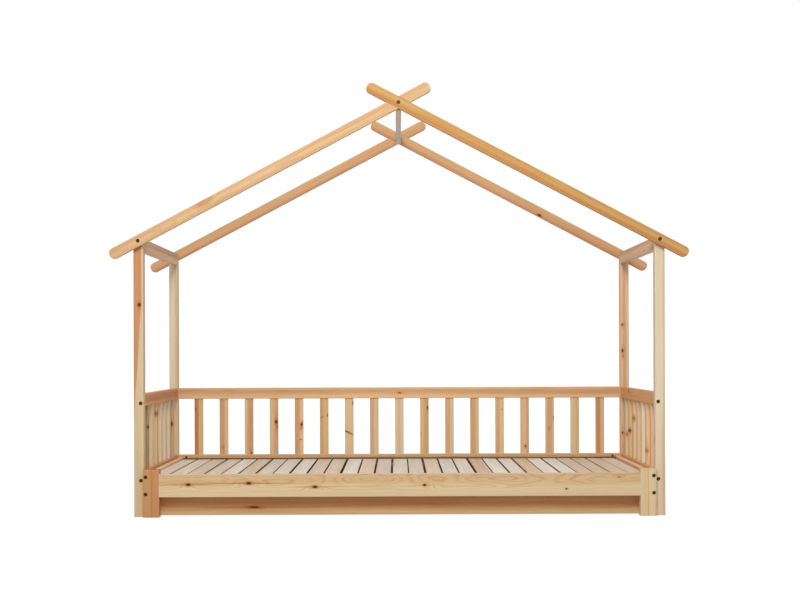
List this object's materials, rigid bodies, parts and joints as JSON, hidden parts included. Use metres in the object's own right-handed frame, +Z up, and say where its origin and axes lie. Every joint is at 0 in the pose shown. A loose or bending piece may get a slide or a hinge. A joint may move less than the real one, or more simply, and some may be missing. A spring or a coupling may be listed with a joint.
{
  "type": "house frame bed",
  "caption": "Low timber bed inside a house-shaped frame: crossed rafters at both long sides, a ridge board, slatted guards on three sides and an open front.",
  "frame": {"origin": "on the floor, at the middle of the bed's footprint", "axes": "+X to the right along the bed's length, +Y towards the slatted back, +Z up"},
  "size_m": [2.2592, 1.02, 1.6914],
  "materials": {
    "post_pine": "clear satin lacquer on planed pine",
    "rafter_pine": "clear satin lacquer on planed pine, golden",
    "beam_pine": "clear satin lacquer on planed pine",
    "panel_rail_pine": "clear satin lacquer on planed pine",
    "panel_slat_pine": "clear satin lacquer on planed pine",
    "front_rail_pine": "clear satin lacquer on planed pine, pale",
    "leg_block_pine": "clear satin lacquer on glued pine",
    "base_board_pine": "clear satin lacquer on planed pine",
    "raw_slat_pine": "raw planed pine, matt",
    "strap_webbing": "woven tape",
    "dark_bronze_steel": "dark bronze plating, dull",
    "dowel_beech": "raw beech"
  },
  "bodies": {
    "frame": {"back_high_rail": "panel_rail_pine", "back_left_post": "post_pine", "back_left_rafter": "rafter_pine", "back_low_board": "base_board_pine", "back_low_rail": "panel_rail_pine", "back_right_post": "post_pine", "back_right_rafter": "rafter_pine", "back_slat_1": "panel_slat_pine", "back_slat_10": "panel_slat_pine", "back_slat_11": "panel_slat_pine", "back_slat_12": "panel_slat_pine", "back_slat_13": "panel_slat_pine", "back_slat_14": "panel_slat_pine", "back_slat_15": "panel_slat_pine", "back_slat_16": "panel_slat_pine", "back_slat_17": "panel_slat_pine", "back_slat_2": "panel_slat_pine", "back_slat_3": "panel_slat_pine", "back_slat_4": "panel_slat_pine", "back_slat_5": "panel_slat_pine", "back_slat_6": "panel_slat_pine", "back_slat_7": "panel_slat_pine", "back_slat_8": "panel_slat_pine", "back_slat_9": "panel_slat_pine", "barrel_nuts": "dark_bronze_steel", "connector_bolts": "dark_bronze_steel", "dowels": "dowel_beech", "front_left_post": "post_pine", "front_left_rafter": "rafter_pine", "front_low_board": "base_board_pine", "front_rail": "front_rail_pine", "front_right_post": "post_pine", "front_right_rafter": "rafter_pine", "left_cross_bearer": "base_board_pine", "left_eave_beam": "beam_pine", "left_end_high_rail": "panel_rail_pine", "left_end_low_rail": "panel_rail_pine", "left_end_slat_1": "panel_slat_pine", "left_end_slat_2": "panel_slat_pine", "left_end_slat_3": "panel_slat_pine", "left_end_slat_4": "panel_slat_pine", "left_end_slat_5": "panel_slat_pine", "left_end_slat_6": "panel_slat_pine", "left_end_slat_7": "panel_slat_pine", "left_leg_block": "leg_block_pine", "ridge_board": "beam_pine", "right_cross_bearer": "base_board_pine", "right_eave_beam": "beam_pine", "right_end_high_rail": "panel_rail_pine", "right_end_low_rail": "panel_rail_pine", "right_end_slat_1": "panel_slat_pine", "right_end_slat_2": "panel_slat_pine", "right_end_slat_3": "panel_slat_pine", "right_end_slat_4": "panel_slat_pine", "right_end_slat_5": "panel_slat_pine", "right_end_slat_6": "panel_slat_pine", "right_end_slat_7": "panel_slat_pine", "right_leg_block": "leg_block_pine"},
    "slat_base": {"bed_slats": "raw_slat_pine", "slat_straps": "strap_webbing"}
  },
  "joints": [
    {"name": "slat_base_lift", "type": "slide", "parent": "frame", "child": "slat_base", "axis": [0, 0, 1], "range_m": [0, 0.3]}
  ]
}
